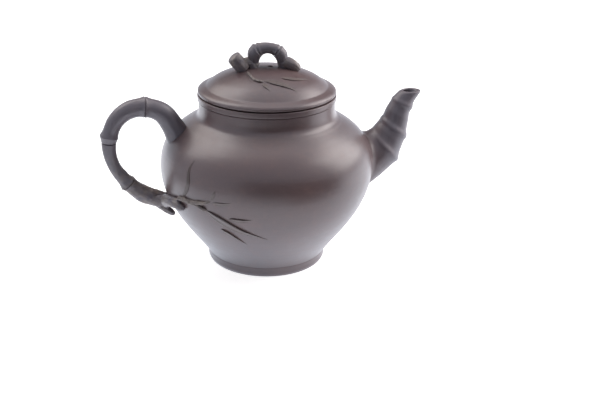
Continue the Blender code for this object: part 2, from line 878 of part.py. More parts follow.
def knob_branch(name, shares, lid_envelope, bridge_envelope):
    """A short branch beside the arch, fitted to it and to the lid."""
    rows = [(*knob_point(along, across, up), knob_radius * girth) for along, across, up, girth in shares]
    rows = flowing(rows, span_steps, 3)
    mesh = tube_mesh(name, rows[:, :3], rows[:, 3], knob_resolution)
    branch = piece(name, mesh, lid_frame, stem_clay)
    combine(branch, bridge_envelope)
    combine(branch, lid_envelope)


def make_knob(lid_envelope):
    """The knob: a bamboo arch with a cut stump at one foot and a root at the other."""
    bridge = piece("knob_bridge", tube_mesh("knob_bridge", *knob_stem(0)), lid_frame, stem_clay)
    combine(bridge, lid_envelope)
    bridge_envelope = cutter("bridge_envelope", tube_mesh("bridge_envelope", *knob_stem(clearance)))
    knob_branch("knob_stump", stump_section_shares, lid_envelope, bridge_envelope)
    knob_branch("knob_spur", spur_section_shares, lid_envelope, bridge_envelope)


def make_lid_sprig():
    """The twig beside the stump and its leaves."""
    make_twig("lid_twig", lid_route(lid_twig_shares), over_lid, lid_twig_radius, lid_frame)
    for name, shares, width in (
        ("lid_leaf_long", lid_long_leaf_shares, lid_long_leaf_width),
        ("lid_leaf_side", lid_side_leaf_shares, lid_side_leaf_width),
        ("lid_leaf_bud", lid_bud_leaf_shares, lid_bud_leaf_width),
    ):
        make_leaf(name, lid_route(shares), over_lid, width, lid_frame)


def centre_on_origin(outermost):
    """Moves the whole object so that its reach in X is the same both ways."""
    bpy.context.view_layer.update()
    graph = bpy.context.evaluated_depsgraph_get()
    reach = []
    for thing in outermost:
        shape = thing.evaluated_get(graph)
        reach += [(shape.matrix_world @ vertex.co).x for vertex in shape.to_mesh().vertices]
        shape.to_mesh_clear()
    pot_frame.location.x = -(min(reach) + max(reach)) / 2


def make_teapot():
    pot_envelope = make_pot_envelope()
    make_pot_body()
    make_base_disc()
    make_foot_ring()
    make_neck_ring()
    make_mouth_ring()
    spout = make_spout(pot_envelope)
    make_spout_strainer()
    handle = make_handle(pot_envelope)
    make_handle_root(pot_envelope)
    make_pot_sprig()
    lid_envelope = make_lid_envelope()
    make_lid_dome()
    make_lid_rim()
    make_lid_flange()
    make_knob(lid_envelope)
    make_lid_sprig()
    centre_on_origin((spout, handle))


make_teapot()
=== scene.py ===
import math

import bmesh
import bpy
import numpy as np
from mathutils import Matrix, Vector


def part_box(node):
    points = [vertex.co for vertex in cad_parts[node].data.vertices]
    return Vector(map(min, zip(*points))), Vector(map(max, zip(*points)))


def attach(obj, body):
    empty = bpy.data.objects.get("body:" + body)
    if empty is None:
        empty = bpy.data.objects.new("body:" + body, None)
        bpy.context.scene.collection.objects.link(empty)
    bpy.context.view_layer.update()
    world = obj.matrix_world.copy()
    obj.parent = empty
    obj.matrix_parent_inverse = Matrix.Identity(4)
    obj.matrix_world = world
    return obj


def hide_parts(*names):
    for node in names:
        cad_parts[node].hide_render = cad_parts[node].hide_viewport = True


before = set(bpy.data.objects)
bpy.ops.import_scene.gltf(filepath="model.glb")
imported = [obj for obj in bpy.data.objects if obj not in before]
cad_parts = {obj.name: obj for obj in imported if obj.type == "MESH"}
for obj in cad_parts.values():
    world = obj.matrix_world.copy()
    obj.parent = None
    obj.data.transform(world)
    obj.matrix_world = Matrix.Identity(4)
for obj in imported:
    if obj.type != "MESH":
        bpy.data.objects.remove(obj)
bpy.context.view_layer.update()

# The pot's wall: thrown clay about 3 mm thick, wide at the belly and drawn in over the foot. It
# is scraped and burnished outside with a horn blade, wiped inside, and fired without a glaze.
# The port behind the spout is cut while the clay is leather hard.
wall_low, wall_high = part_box("pot_body")
foot_low, foot_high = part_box("foot_ring")
axis_x = (foot_low.x + foot_high.x) / 2
belly_radius = wall_high.y
belly_height = 0.0545
waist_radius = 0.0332
waist_rise = 0.0014
shoulder_radius = 0.0410
flare_angle = math.radians(60.8)
shoulder_angle = math.radians(29.4)
flare_pull_share = 0.26
belly_low_pull_share = 0.42
belly_high_pull_share = 0.573
shoulder_pull_share = 0.672
pot_wall = 0.0032
floor_thickness = 0.0035
seat_radius = waist_radius - pot_wall
neck_inner_radius = 0.0333
slip_gap = 0.0003
merge_distance = slip_gap / 300
port_radius = 0.0090
port_height = sum(corner.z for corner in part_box("spout_strainer")) / 2
turned_facets = 240
bored_facets = 64
smooth_angle = math.radians(40)
body_colour = (0.134, 0.088, 0.091)
weathered_colour = (0.300, 0.251, 0.223, 1)
sand_colour = (0.30, 0.24, 0.19, 1)
clay_ior = 1.6
coat_roughness = 0.30
bump_height = 0.00005


def bezier(controls, steps):
    """Points of the Bezier curve with these controls, both ends included."""
    share = np.linspace(0, 1, steps + 1)[:, None]
    layers = [np.array(control, float) for control in controls]
    while len(layers) > 1:
        layers = [(1 - share) * a + share * b for a, b in zip(layers, layers[1:])]
    return layers[0]


def unit(vectors):
    """The same directions, each of them one long."""
    return vectors / np.linalg.norm(vectors, axis=1)[:, None]


def offset(outline, distance):
    """The outline moved outwards by distance, square to itself at each point."""
    along = unit(np.gradient(outline, axis=0))
    return outline + distance * np.stack([along[:, 1], -along[:, 0]], axis=1)


def step(length, angle):
    """A step of this length at this angle, as how far it goes along and up."""
    return length * np.array([math.cos(angle), math.sin(angle)])


def wall_outline():
    """Outer face of the wall as (radius, height) points, from the bottom up."""
    waist = np.array([waist_radius, wall_low.z + waist_rise])
    belly = np.array([belly_radius, belly_height])
    shoulder = np.array([shoulder_radius, wall_high.z])
    low_rise, high_rise = belly[1] - waist[1], shoulder[1] - belly[1]
    flare = step(low_rise * flare_pull_share, flare_angle)
    fall = step((belly_radius - shoulder_radius) * shoulder_pull_share, -shoulder_angle)
    low = bezier((waist, waist + flare, belly - (0, low_rise * belly_low_pull_share), belly), steps=60)
    high_pull = (0, high_rise * belly_high_pull_share)
    high = bezier((belly, belly + high_pull, shoulder + fall, shoulder), steps=50)
    return np.vstack([[(waist_radius, wall_low.z)], low, high[1:]])


wall_points = wall_outline()
wall_slopes = np.gradient(wall_points[:, 0], wall_points[:, 1])


def wall_at(heights):
    """The wall's radii and slopes at these heights."""
    return [np.interp(heights, wall_points[:, 1], values) for values in (wall_points[:, 0], wall_slopes)]


def over_wall(points, proud):
    """The points brought level onto the wall, then moved straight out from it."""
    points = np.atleast_2d(points)
    heights = np.clip(points[:, 2], wall_points[0, 1], wall_points[-1, 1])
    radii, slopes = wall_at(heights)
    out = unit(points[:, :2])
    normals = np.column_stack([out, -slopes]) / np.sqrt(1 + slopes**2)[:, None]
    return np.column_stack([out * radii[:, None], heights]) + normals * np.reshape(proud, (-1, 1))


def under_wall(points):
    """How deep each point lies under the wall's face. A point outside it is less than zero."""
    radii, slopes = wall_at(points[:, 2])
    return (radii - np.hypot(points[:, 0], points[:, 1])) / np.sqrt(1 + slopes**2)


def closed(mesh):
    """The mesh with its doubles merged, its faces pointing out and smooth up to a sharp edge."""
    shape = bmesh.new()
    shape.from_mesh(mesh)
    bmesh.ops.remove_doubles(shape, verts=shape.verts, dist=merge_distance)
    bmesh.ops.recalc_face_normals(shape, faces=shape.faces)
    shape.to_mesh(mesh)
    shape.free()
    mesh.shade_smooth()
    mesh.set_sharp_from_angle(angle=smooth_angle)
    return mesh


def lofted(name, rings, capped=False):
    """A closed mesh through rings of points. Its end rings are capped, or joined to each other."""
    rings = np.array(rings)
    count, facets = rings.shape[:2]
    index = np.arange(count * facets).reshape(count, facets)
    rows = index if capped else np.vstack([index, index[:1]])
    low, high = rows[:-1], rows[1:]
    faces = np.stack([low, np.roll(low, -1, 1), np.roll(high, -1, 1), high], axis=-1).reshape(-1, 4).tolist()
    if capped:
        faces += [index[0].tolist(), index[-1].tolist()]
    mesh = bpy.data.meshes.new(name)
    mesh.from_pydata(rings.reshape(-1, 3), [], faces)
    return closed(mesh)


def turned(name, outline):
    """A closed piece turned round the pot's axis from (radius, height) points."""
    turns = np.arange(turned_facets) * math.tau / turned_facets
    circle = np.stack([np.cos(turns), np.sin(turns)], axis=1)
    rings = [np.column_stack([circle * radius, np.full(turned_facets, height)]) for radius, height in outline]
    return lofted(name, rings, capped=outline[0][0] == 0)


class Socket:
    """An output in a node tree. A sum on it adds its Math node."""

    def __init__(self, tree, output):
        self.tree = tree
        self.output = output

    @classmethod
    def add(cls, tree, kind, settings={}, inputs={}, output=0):
        """A new node with these settings and these values or links at its inputs."""
        node = tree.nodes.new(kind)
        for name, value in settings.items():
            setattr(node, name, value)
        for name, value in inputs.items():
            if isinstance(value, Socket):
                value.into(node, name)
            else:
                node.inputs[name].default_value = value
        return cls(tree, node.outputs[output])

    def also(self, name):
        """Another output of the same node."""
        return Socket(self.tree, self.output.node.outputs[name])

    def into(self, node, name):
        """A link to this input of the node."""
        self.tree.links.new(self.output, node.inputs[name])

    def maths(self, operation, *values):
        return Socket.add(self.tree, "ShaderNodeMath", {"operation": operation}, dict(enumerate(values)))

    def vector(self, operation, inputs={}, output=0):
        """The outcome of Vector Math on this vector and these other inputs."""
        settings = {"operation": operation}
        return Socket.add(self.tree, "ShaderNodeVectorMath", settings, {0: self, **inputs}, output)

    def blend(self, one, other):
        """The one colour, with this share of the other mixed in."""
        return Socket.add(self.tree, "ShaderNodeMix", {"data_type": "RGBA"}, {0: self, 6: one, 7: other}, 2)

    def __add__(self, other):
        return self.maths("ADD", self, other)

    def __sub__(self, other):
        return self.maths("SUBTRACT", self, other)

    def __rsub__(self, other):
        return self.maths("SUBTRACT", other, self)

    def __mul__(self, other):
        return self.maths("MULTIPLY", self, other)

    def __truediv__(self, other):
        return self.maths("DIVIDE", self, other)

    def __pow__(self, other):
        return self.maths("POWER", self, other)

    def __abs__(self):
        return self.maths("ABSOLUTE", self)

    def least(self, other):
        return self.maths("MINIMUM", self, other)

    def most(self, other):
        return self.maths("MAXIMUM", self, other)

    __radd__ = __add__
    __rmul__ = __mul__


def clay(name, colour, burnish):
    """Unglazed purple clay: cloudy colour, sandy specks, fine grain, and the marks of the blade."""
    material = bpy.data.materials.new(name)
    material.use_nodes = True
    tree = material.node_tree
    shader = tree.nodes["Principled BSDF"]
    place = Socket.add(tree, "ShaderNodeTexCoord", output="Object")

    def texture(scale, detail=3, stretch=(1, 1, 1)):
        where = Socket.add(tree, "ShaderNodeMapping", {}, {"Vector": place, "Scale": stretch})
        return Socket.add(tree, "ShaderNodeTexNoise", {}, {"Vector": where, "Scale": scale, "Detail": detail})

    def carried(attribute):
        return Socket.add(tree, "ShaderNodeAttribute", {"attribute_name": attribute}, output="Fac")

    def shade(brightness, warmth=0):
        red, green, blue = colour
        return (red * brightness * (1 + warmth), green * brightness, blue * brightness * (1 - warmth), 1)

    clouds = texture(26)
    mottles = texture(230, 4)
    grain = texture(2100, 2)
    streaks = texture(30, 4, (1, 1, 26))
    specks = Socket.add(tree, "ShaderNodeTexVoronoi", {}, {"Vector": place, "Scale": 820})
    speck = (0.2 - specks).most(0) * 5 * ((specks.also("Color") - 0.82).most(0) * 6).least(1)
    age = carried("age")

    fired = ((clouds - 0.5) * 2.2 + 0.5).most(0).least(1).blend(shade(0.88, -0.03), shade(1.14, 0.05))
    mottled = ((mottles - 0.52) * 1.6).most(0).blend(fired, shade(1.30, 0.10))
    pitted = ((grain - 0.60) * 1.8).most(0).blend(mottled, shade(0.62))
    weathered = (age * ((mottles - 0.35) * 2.6).most(0).least(1)).blend(pitted, weathered_colour)
    merged = carried("merging").blend(weathered, (*body_colour, 1))
    (speck * 0.55).blend(merged, sand_colour).into(shader, "Base Color")
    dullness = 0.50 - 0.10 * burnish
    rough = dullness + (mottles - 0.5) * 0.16 + (streaks - 0.5) * 0.10 * burnish + age * 0.08
    rough.into(shader, "Roughness")
    height = grain * 0.5 + mottles * 0.5 + streaks * burnish * 0.7 + speck * 0.6
    relief = {"Strength": 1, "Distance": bump_height, "Height": height}
    Socket.add(tree, "ShaderNodeBump", {}, relief).into(shader, "Normal")
    shader.inputs["Metallic"].default_value = 0
    shader.inputs["IOR"].default_value = clay_ior
    shader.inputs["Coat Weight"].default_value = 0.15 + 0.20 * burnish
    shader.inputs["Coat Roughness"].default_value = coat_roughness
    return material


def placed(name, data):
    """A new object in the scene that holds this mesh, lamp or camera."""
    thing = bpy.data.objects.new(name, data)
    bpy.context.scene.collection.objects.link(thing)
    return thing


def settle(mesh, node, body="pot", slot="body_clay"):
    """The finished piece, in place of its plain solid, on the body that carries it."""
    mesh.transform(Matrix.Translation((axis_x, 0, 0)))
    piece = placed(mesh.name, mesh)
    mesh.materials.clear()
    mesh.materials.append(clays[slot])
    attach(piece, body)
    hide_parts(node)


def plain(holder, *tools):
    """The plain mesh that the holder's modifiers make. The holder and the tools are used up."""
    made = bpy.data.meshes.new_from_object(holder.evaluated_get(bpy.context.evaluated_depsgraph_get()))
    holder.modifiers.clear()
    for thing in (holder, *tools):
        bpy.data.objects.remove(thing)
    return made


def bored(mesh, radius, place, heading):
    """The mesh with a round hole cut through it at this place, along this heading."""
    shape = bmesh.new()
    sizes = {"segments": bored_facets, "radius1": radius, "radius2": radius, "depth": 6 * pot_wall}
    bmesh.ops.create_cone(shape, cap_ends=True, **sizes)
    drill_mesh = bpy.data.meshes.new("drill")
    shape.to_mesh(drill_mesh)
    shape.free()
    drill_mesh.transform(Matrix.Translation(place) @ heading.to_track_quat("Z", "Y").to_matrix().to_4x4())
    drill, blank = placed("drill", drill_mesh), placed("blank", mesh)
    blank.modifiers.new("hole", "BOOLEAN").object = drill
    made = plain(blank, drill)
    made.name, mesh.name = mesh.name, "blank"
    return closed(made)


clays = {"body_clay": clay("burnished_body", body_colour, burnish=1)}
wall_inside = offset(wall_points, -pot_wall)
over_floor = wall_inside[:, 1] > wall_low.z + floor_thickness
under_top = wall_inside[:, 1] < wall_high.z - pot_wall
wall_turning = [
    *wall_points[::-1],
    (seat_radius, wall_low.z),
    (seat_radius, wall_low.z + floor_thickness),
    *wall_inside[over_floor & under_top & (wall_inside[:, 0] > neck_inner_radius)],
    (neck_inner_radius, wall_high.z - pot_wall),
    (neck_inner_radius, wall_high.z),
]
port_place = (belly_radius, 0, port_height)
wall_mesh = bored(turned("wall", wall_turning), port_radius, port_place, Vector((1, 0, 0)))
settle(wall_mesh, "pot_body")

# The foot ring is a coil luted under the wall and trimmed on the wheel. The bottom is a
# separate disc inside it, pressed down and smoothed with a wet finger.
base_low, base_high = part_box("base_disc")
foot_radius = (foot_high.x - foot_low.x) / 2
foot_width = 0.0055
foot_inner_radius = foot_radius - foot_width
foot_top_radius = waist_radius - pot_wall / 2
foot_undercut = 0.0008
foot_rounding = 0.0005
foot_edge_share = 0.94
foot_heel_share = 0.45
foot_lap_rise = 0.0018
foot_lap_film = 0.00003
# Rows: how far the hollow corner reaches past the seat's radius and over the disc
base_cove_rows = ((-0.005, 0.00005), (-0.001, 0.0001), (0.0018, 0.0028))
base_tuck = 0.0008


def rounded(corners, radius, steps=5):
    """The closed outline with each of its corners rounded, by at most a third of its sides."""
    corners = np.array(corners)
    made = []
    for before, corner, after in zip(np.roll(corners, 1, 0), corners, np.roll(corners, -1, 0)):
        arms = [(end - corner) / np.linalg.norm(end - corner) for end in (before, after)]
        reach = min(radius, np.linalg.norm(before - corner) / 3, np.linalg.norm(after - corner) / 3)
        made.extend(bezier((corner + arms[0] * reach, corner, corner + arms[1] * reach), steps))
    return np.array(made)


foot_lap = over_wall([(waist_radius, 0, wall_low.z + foot_lap_rise)], foot_lap_film)[0]
foot_corners = [
    (foot_radius, foot_high.z * foot_edge_share),
    (foot_radius, foot_high.z * foot_heel_share),
    (foot_radius - foot_undercut, 0),
    (foot_inner_radius, 0),
    (foot_inner_radius, base_low.z),
    (foot_top_radius, base_low.z),
    (foot_top_radius, foot_lap[2]),
    (foot_lap[0], foot_lap[2]),
]
settle(turned("foot", rounded(foot_corners, foot_rounding)), "foot_ring")

base_cove = bezier([(seat_radius + out, base_high.z + up) for out, up in base_cove_rows], steps=12)
base_outline = [(0, base_high.z), *base_cove, (seat_radius + base_tuck, base_low.z), (0, base_low.z)]
settle(turned("base", base_outline), "base_disc")

# The neck is a strip of clay bent round the opening. Its cove is drawn out over the shoulder, so
# no seam shows there. A narrower band is luted on top as the seat for the lid.
neck_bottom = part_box("neck_ring")[0].z
mouth_low, mouth_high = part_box("mouth_ring")
neck_radius = 0.0371
neck_cove_rise = 0.0070
mouth_radius = (mouth_high.y - mouth_low.y) / 2
mouth_rounding = 0.0005
seam_depth = 0.00028
lap_film = 0.00002
lap_sink = pot_wall / 8
lap_rows = 9

neck_cove = bezier(
    (
        (neck_radius, neck_bottom + neck_cove_rise),
        (neck_radius, neck_bottom + neck_cove_rise / 3),
        ((2 * neck_radius + shoulder_radius) / 3, neck_bottom + neck_cove_rise / 6),
        (shoulder_radius, neck_bottom),
    ),
    steps=30,
)
neck_outline = [
    (neck_radius - seam_depth, mouth_low.z + slip_gap),
    (neck_radius - seam_depth, mouth_low.z - seam_depth),
    (neck_radius, mouth_low.z - 2 * seam_depth),
    *neck_cove[:-4],
    *offset(wall_points[-lap_rows:], np.linspace(-2 * lap_film, lap_film, lap_rows)[:, None])[::-1],
    offset(wall_points, -lap_sink)[-lap_rows - 2],
    (shoulder_radius - 2 * pot_wall / 3, neck_bottom - slip_gap - pot_wall / 2),
    (neck_inner_radius, neck_bottom - slip_gap),
    (neck_inner_radius, mouth_low.z + slip_gap),
]
settle(turned("neck", neck_outline), "neck_ring")

mouth_corners = [
    (mouth_radius, mouth_high.z),
    (mouth_radius, mouth_low.z),
    (neck_inner_radius, mouth_low.z),
    (neck_inner_radius, mouth_high.z),
]
settle(turned("mouth_band", rounded(mouth_corners, mouth_rounding)), "mouth_ring")

# The spout is a hollow bamboo stem, modelled by hand and bored with a stick. Slanting joints ring
# it, proudest on its outer side, and its root is smoothed into the wall with wet clay.
spout_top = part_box("spout")[1].z
spout_reach = 0.0823
spout_root_radius = 0.0130
spout_root_depth = spout_root_radius * 1.5
spout_tip_radius = 0.0060
spout_wall = 0.0019
spout_ridge = 0.0011
spout_ridge_width = 0.0021
least_ridge_share = 0.35
greatest_lean = math.radians(45)
spout_bead = 0.00005
bead_width = 0.0010
spout_groove = 0.00004
spout_lip = 0.0009
least_cove = 0.0011
spout_cove = 0.0048
cove_power = 0.6
merging_reach = 0.014
bore_sink = pot_wall / 4
# Rows: share of the reach past the wall, share of the rise, slant of the ring in degrees, and
# share of the way from the tip's radius to the root's
spout_section = (
    (0.0, 0.0, 37, 1.0), (0.383, 0.176, 43, 0.74), (0.512, 0.322, 49, 0.55), (0.612, 0.450, 54, 0.36),
    (0.700, 0.645, 58, 0.19), (0.792, 0.818, 63, -0.04), (1.0, 1.0, 90, 0.0),
)
spout_joints = (1, 3, 5)
spout_steps = 30
spout_root_steps = 60
spout_lip_steps = 14
spout_facets = 96
# The stems' own clay tone, with a painted blue cast that stands in for the bluish floor light they mirror
stem_colour_with_painted_blue_light = (0.156, 0.138, 0.165)


def flowing(rows, steps, place):
    """Rows of a smooth curve through the given rows. Their first columns are the place."""
    rows = np.array(rows, float)
    spans = np.linalg.norm(np.diff(rows[:, :place], axis=0), axis=1)
    slopes = np.gradient(rows, np.concatenate([[0], np.cumsum(spans)]), axis=0)
    made = []
    for i, span in enumerate(spans):
        for t in np.arange(steps) / steps:
            made.append(
                (1 + 2 * t) * (1 - t) ** 2 * rows[i]
                + t * (1 - t) ** 2 * span * slopes[i]
                + t**2 * (3 - 2 * t) * rows[i + 1]
                + t**2 * (t - 1) * span * slopes[i + 1]
            )
    return np.array(made + [rows[-1]])


def arc_lengths(points):
    """How far along the line each of its points lies."""
    return np.concatenate([[0], np.cumsum(np.linalg.norm(np.diff(points, axis=0), axis=1))])


def store(mesh, name, values):
    """Keeps a number or a direction for each point of the mesh, under this name."""
    kind, field = ("FLOAT", "value") if np.ndim(values) == 1 else ("FLOAT_VECTOR", "vector")
    mesh.attributes.new(name, kind, "POINT").data.foreach_set(field, np.ravel(values))


def spout_stations():
    """Rows of reach, height, slant, radius and distance to the nearest joint, evenly along the spout."""
    along, up, slant, girth = np.array(spout_section).T
    x = belly_radius + (spout_reach - belly_radius) * along
    z = port_height + (spout_top - port_height) * up
    radii = spout_tip_radius + (spout_root_radius - spout_tip_radius) * girth
    stem = flowing(np.stack([x, z, np.radians(slant), radii], axis=1), spout_steps, 2)
    joints = arc_lengths(stem[:, :2])[np.array(spout_joints) * spout_steps]
    back = np.append(step(-spout_root_depth, stem[0, 2]), (0, 0))
    inside = [stem[0] + back * share for share in np.linspace(1, 0, spout_root_steps)[:-1]]
    stem = np.vstack([inside, stem])
    along = arc_lengths(stem[:, :2]) - spout_root_depth
    return np.column_stack([stem, abs(along[:, None] - joints).min(axis=1)])


def spout_ring(station, heading, radius, ridge):
    """The points round one slanting ring, starting at its upper side."""
    x, z, tilt = station[:3]
    turns = np.arange(spout_facets) * math.tau / spout_facets
    lean = math.atan2(heading[1], heading[0]) - tilt
    flatness = max(math.cos(lean), math.cos(greatest_lean))
    proud = least_ridge_share + (1 - least_ridge_share) * (1 - np.cos(turns)) / 2
    reach = radius + ridge * proud
    side = reach * np.cos(turns)
    width = reach * flatness * np.sin(turns)
    return np.stack([x - side * math.sin(tilt), width, z + side * math.cos(tilt)], axis=1)


def blended_into_wall(column, centres, turn_share):
    """One line along the spout, its lower end drawn out over the wall in a hollow curve."""
    depth = under_wall(column)
    last = np.nonzero(depth > 0)[0].max()
    share = depth[last] / (depth[last] - depth[last + 1])
    meeting = column[last] + (column[last + 1] - column[last]) * share
    along = arc_lengths(column)
    along -= along[last] + share * (along[last + 1] - along[last])
    topness = (1 + math.cos(math.tau * turn_share)) / 2
    reach = least_cove + spout_cove * topness**cove_power
    above = np.array([np.interp(reach, along, axis) for axis in column.T])
    outward = meeting - centres[last]
    outward /= np.linalg.norm(outward)
    below = over_wall([meeting + outward * reach], lap_film)[0]
    sunk = over_wall([below], -lap_sink)[0]
    made = column.copy()
    for i, distance in enumerate(along):
        u = (reach - distance) / (2 * reach)
        if u >= 1:
            made[i] = sunk
        elif u > 0:
            made[i] = (1 - u) ** 2 * above + 2 * u * (1 - u) * meeting + u**2 * below
    return made


def spout_mesh():
    """The hollow stem: its outer side, then over the lip and back down the bore."""
    stations = spout_stations()
    headings = unit(np.gradient(stations[:, :2], axis=0))
    tip, tip_heading = stations[-1], headings[-1]
    outer, bore, lip = [], [], []
    for station, heading in zip(stations, headings):
        near = station[4]
        if np.linalg.norm(station[:2] - tip[:2]) < spout_lip:
            continue
        ridge = spout_ridge * math.exp(-((near / spout_ridge_width) ** 2))
        bead = spout_bead * math.exp(-((near / bead_width) ** 2))
        groove = spout_groove * math.exp(-(((near - 2 * bead_width) / bead_width) ** 2))
        outer.append(spout_ring(station, heading, station[3] + bead - groove, ridge))
        bore.append(spout_ring(station, heading, station[3] - spout_wall, 0))
    for turn in np.linspace(0, math.pi, spout_lip_steps)[1:-1]:
        middle = tip.copy()
        middle[:2] -= tip_heading * spout_lip * (1 - math.sin(turn))
        radius = tip[3] - spout_wall / 2 + spout_wall / 2 * math.cos(turn)
        lip.append(spout_ring(middle, tip_heading, radius, 0))
    centres = np.insert(stations[: len(outer), :2], 1, 0, axis=1)
    outer, bore = np.array(outer), np.array(bore)
    for j in range(spout_facets):
        outer[:, j] = blended_into_wall(outer[:, j], centres, j / spout_facets)
        hidden = under_wall(bore[:, j]) > bore_sink
        bore[hidden, j] = over_wall(bore[np.nonzero(hidden)[0].max(), j], -bore_sink)
    made = lofted("spout_stem", [*outer, *lip, *bore[::-1]])
    heights = -under_wall(np.array([vertex.co for vertex in made.vertices]))
    store(made, "merging", np.clip(1 - heights / merging_reach, 0, 1))
    return made


clays["stem_clay"] = clay("carved_stem", stem_colour_with_painted_blue_light, burnish=0.25)
settle(spout_mesh(), "spout", slot="stem_clay")

# The strainer is a small dome pressed over a ball and pierced with a brass tube, one hole in the
# middle and two rings round it. It is luted into the port from inside.
strainer_low, strainer_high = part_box("spout_strainer")
strainer_wall = 0.0016
strainer_rim = 0.0024
strainer_rise = strainer_high.x - strainer_low.x - strainer_rim
strainer_sizes = {"Hole Radius": 0.0008, "Ring Pitch": 0.0026, "Depth": 4 * strainer_rise}
strainer_ring_counts = (6, 12)
hole_facets = 16


def new_tree(name, sizes):
    """An empty tree of Geometry Nodes with inputs for these sizes and the clay, and its group input."""
    tree = bpy.data.node_groups.new(name, "GeometryNodeTree")
    tree.is_modifier = True
    for size, kind in {"Geometry": "Geometry", **dict.fromkeys(sizes, "Float"), "Clay": "Material"}.items():
        tree.interface.new_socket(size, in_out="INPUT", socket_type="NodeSocket" + kind)
    tree.interface.new_socket("Geometry", in_out="OUTPUT", socket_type="NodeSocketGeometry")
    return tree, Socket.add(tree, "NodeGroupInput")


def end_tree(tree, given, shape):
    """The tree with its last nodes: instances made real, smooth shading and the clay."""
    real = Socket.add(tree, "GeometryNodeRealizeInstances", {}, {"Geometry": shape})
    smooth = Socket.add(tree, "GeometryNodeSetShadeSmooth", {}, {"Geometry": real})
    finish = {"Geometry": smooth, "Material": given.also("Clay")}
    covered = Socket.add(tree, "GeometryNodeSetMaterial", {}, finish)
    covered.into(tree.nodes.new("NodeGroupOutput"), "Geometry")
    return tree


def grown(tree, mesh, slot, sizes):
    """The plain mesh that the tree makes of this one, with these sizes at its named inputs."""
    holder = placed("holder", mesh)
    modifier = holder.modifiers.new("nodes", "NODES")
    modifier.node_group = tree
    values = {**sizes, "Clay": clays[slot]}
    for item in tree.interface.items_tree:
        if item.in_out == "INPUT" and item.name in values:
            modifier[item.identifier] = values[item.name]
    made = plain(holder)
    made.name, mesh.name = mesh.name, "line"
    return made


def pierced_tree():
    """Nodes that pierce a dome with one hole in the middle and two rings of holes round it."""
    tree, given = new_tree("pierced_dome", strainer_sizes)
    spots = Socket.add(tree, "GeometryNodeJoinGeometry")
    Socket.add(tree, "GeometryNodeMeshLine", {}, {"Count": 1}).into(spots.output.node, "Geometry")
    for i, count in enumerate(strainer_ring_counts, 1):
        ring = {"Vertices": count, "Radius": given.also("Ring Pitch") * i}
        Socket.add(tree, "GeometryNodeMeshCircle", {}, ring).into(spots.output.node, "Geometry")
    size = {"Vertices": hole_facets, "Radius": given.also("Hole Radius"), "Depth": given.also("Depth")}
    tube = Socket.add(tree, "GeometryNodeMeshCylinder", {}, size, "Mesh")
    tubes = Socket.add(tree, "GeometryNodeInstanceOnPoints", {}, {"Points": spots, "Instance": tube})
    real = Socket.add(tree, "GeometryNodeRealizeInstances", {}, {"Geometry": tubes})
    shapes = {"Mesh 1": given.also("Geometry"), "Mesh 2": real}
    return end_tree(tree, given, Socket.add(tree, "GeometryNodeMeshBoolean", {"solver": "MANIFOLD"}, shapes))


quarter = np.radians(np.linspace(0, 90, 16))
unit_dome = np.stack([np.cos(quarter), np.sin(quarter)], axis=1)
dome_outside = unit_dome * (port_radius, strainer_rise) + (0, strainer_rim)
dome_inside = unit_dome * (port_radius - strainer_wall, strainer_rise - strainer_wall) + (0, strainer_rim)
dome_outside[-1, 0] = dome_inside[-1, 0] = 0
strainer_outline = [*dome_outside[::-1], (port_radius, 0), (port_radius - strainer_wall, 0), *dome_inside]
unpierced = turned("strainer", strainer_outline)
strainer_mesh = closed(grown(pierced_tree(), unpierced, "body_clay", strainer_sizes))
into_port = Matrix.Translation((strainer_high.x - axis_x, 0, port_height))
strainer_mesh.transform(into_port @ Matrix.Rotation(math.radians(-90), 4, "Y"))
settle(strainer_mesh, "spout_strainer")

# The handle is a bamboo stem rolled from one coil of clay. Each joint is a ridge with a line cut
# round it, and towards its lower end the stem grows old and gnarled, like a root.
handle_reach = 0.0853
handle_high = 0.0905
handle_low = 0.0380
handle_radius = 0.0052
# Rows: share of the reach past the belly, share of the height, share of the radius, and age
handle_section = (
    (-0.416, 0.619, 1.38, 0), (-0.268, 0.786, 1.16, 0), (-0.049, 0.940, 1.05, 0), (0.277, 1.000, 0.96, 0),
    (0.560, 0.985, 0.93, 0), (0.800, 0.905, 0.86, 0), (0.992, 0.710, 0.80, 0.05),
    (0.996, 0.495, 0.67, 0.15), (0.933, 0.389, 0.64, 0.35), (0.700, 0.211, 0.73, 0.75),
    (0.270, 0.034, 0.90, 1), (0.109, 0.004, 0.84, 1), (0.000, -0.008, 0.78, 1), (-0.130, -0.016, 0.68, 1),
)
# Rows of these sections that carry a joint, and how far past the row its ridge or its cut lies
handle_ridges = ((3, 0), (6, 0), (9, 0.0010))
handle_cuts = ((3, 0), (6, 0.0034), (9, 0.0014))
stem_spacing = 0.00035
stem_steps = 24
stem_facets = 64
ridge_lean_share = 0.35
ridge_places = ("Ridge 1", "Ridge 2", "Ridge 3", "Ridge 4")
cut_places = ("Cut 1", "Cut 2", "Cut 3")
stem_sizes = ("Ridge Height", "Ridge Width", "Cut Depth", "Cut Width", "Fibre", "Gnarl")
# The handle's six sizes, in metres. The other stems give theirs in the same order
handle_skin = (0.0009, 0.0040, 0.0007, 0.00040, 0.00055, 0.0011)
nowhere = -1.0


